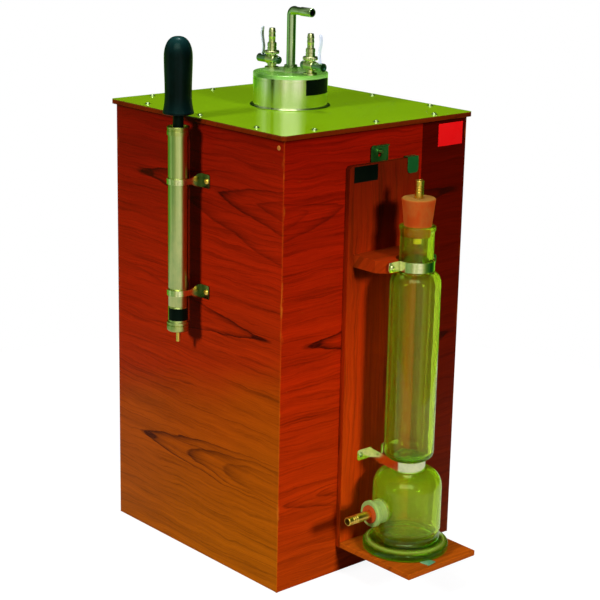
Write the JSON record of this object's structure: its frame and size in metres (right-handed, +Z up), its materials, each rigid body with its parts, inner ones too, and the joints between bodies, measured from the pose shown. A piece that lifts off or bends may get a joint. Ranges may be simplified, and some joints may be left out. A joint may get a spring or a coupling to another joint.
{
  "type": "heat capacity ratio apparatus",
  "caption": "Lagged air vessel in a veneered case with vent, plug taps, side hand pump and a glass drying tower on a hanging board, for measuring the heat capacity ratio of air.",
  "frame": {"origin": "centre of the case's underside, where it stands", "axes": "+Z up; -Y towards the front face with the drying tower; -X towards the face with the pump"},
  "size_m": [0.2985, 0.3929, 0.5853],
  "materials": {
    "veneer": "varnished veneer",
    "bare_wood": "unfinished",
    "laminate": "high gloss",
    "nickel": "worn nickel plate",
    "brass": "dulled",
    "steel": "dull",
    "black_rubber": "satin",
    "black_metal": "blackened",
    "orange_rubber": "dusty",
    "clear_glass": "polished",
    "cork": "matt",
    "felt": "matt",
    "leather": "oiled"
  },
  "bodies": {
    "case": {"case_front": "veneer", "case_back": "veneer", "case_left": "veneer", "case_right": "veneer", "case_floor": "bare_wood", "corner_battens": "bare_wood", "lid_board": "veneer", "lid_laminate": "laminate", "lid_screws": "steel", "vessel_shell": "brass", "vessel_lagging": "felt", "base_pad": "cork", "top_pad": "cork", "neck_tube": "nickel", "neck_collar": "nickel", "neck_cap": "nickel", "vent_gland": "nickel", "vent_seat": "brass", "front_tap_body": "nickel", "back_tap_body": "nickel", "pump_barrel": "nickel", "pump_collar": "nickel", "pump_guide": "black_rubber", "pump_foot": "nickel", "pump_nozzle": "brass", "pump_clip_upper": "nickel", "pump_clip_lower": "nickel", "clip_screws": "brass", "hanger_peg": "steel"},
    "pump_plunger": {"pump_rod": "black_metal", "pump_grip": "black_rubber", "pump_piston": "brass", "pump_cup": "leather", "pump_piston_nut": "steel"},
    "vent": {"vent_tube": "nickel"},
    "front_tap": {"front_tap_plug": "brass", "front_tap_lever": "nickel", "front_tap_nut": "nickel"},
    "back_tap": {"back_tap_plug": "brass", "back_tap_lever": "nickel", "back_tap_nut": "nickel"},
    "tower_unit": {"tower_board": "veneer", "tower_shelf": "veneer", "board_screws": "steel", "hanger_plate": "nickel", "edge_clip": "nickel", "neck_bracket": "veneer", "neck_band": "nickel", "band_screws": "nickel", "waist_strap": "nickel", "strap_screws": "steel", "tower_bell": "clear_glass", "side_tubulure": "clear_glass", "tower_shoulder": "clear_glass", "tower_column": "clear_glass", "tower_neck": "clear_glass"},
    "tower_plug": {"tower_stopper": "orange_rubber", "top_tube": "brass"},
    "side_plug": {"side_bung": "orange_rubber", "side_tube": "brass"}
  },
  "joints": [
    {"name": "pump_stroke", "type": "slide", "parent": "case", "child": "pump_plunger", "axis": [0, 0, 1], "range_m": [0, 0.17]},
    {"name": "vent_turn", "type": "hinge", "parent": "case", "child": "vent", "pos_m": [0, 0, 0.58], "axis": [0, 0, 1], "range_deg": [-90, 90]},
    {"name": "front_tap_turn", "type": "hinge", "parent": "case", "child": "front_tap", "pos_m": [0, -0.031, 0.5255], "axis": [0, 1, 0], "range_deg": [0, 90]},
    {"name": "back_tap_turn", "type": "hinge", "parent": "case", "child": "back_tap", "pos_m": [0, 0.031, 0.5255], "axis": [0, 1, 0], "range_deg": [0, 90]},
    {"name": "board_off", "type": "slide", "parent": "case", "child": "tower_unit", "axis": [0, -1, 0], "range_m": [0, 0.08]},
    {"name": "stopper_out", "type": "slide", "parent": "tower_unit", "child": "tower_plug", "axis": [0, 0, 1], "range_m": [0, 0.06]},
    {"name": "bung_out", "type": "slide", "parent": "tower_unit", "child": "side_plug", "axis": [-1, 0, 0], "range_m": [0, 0.06]}
  ]
}
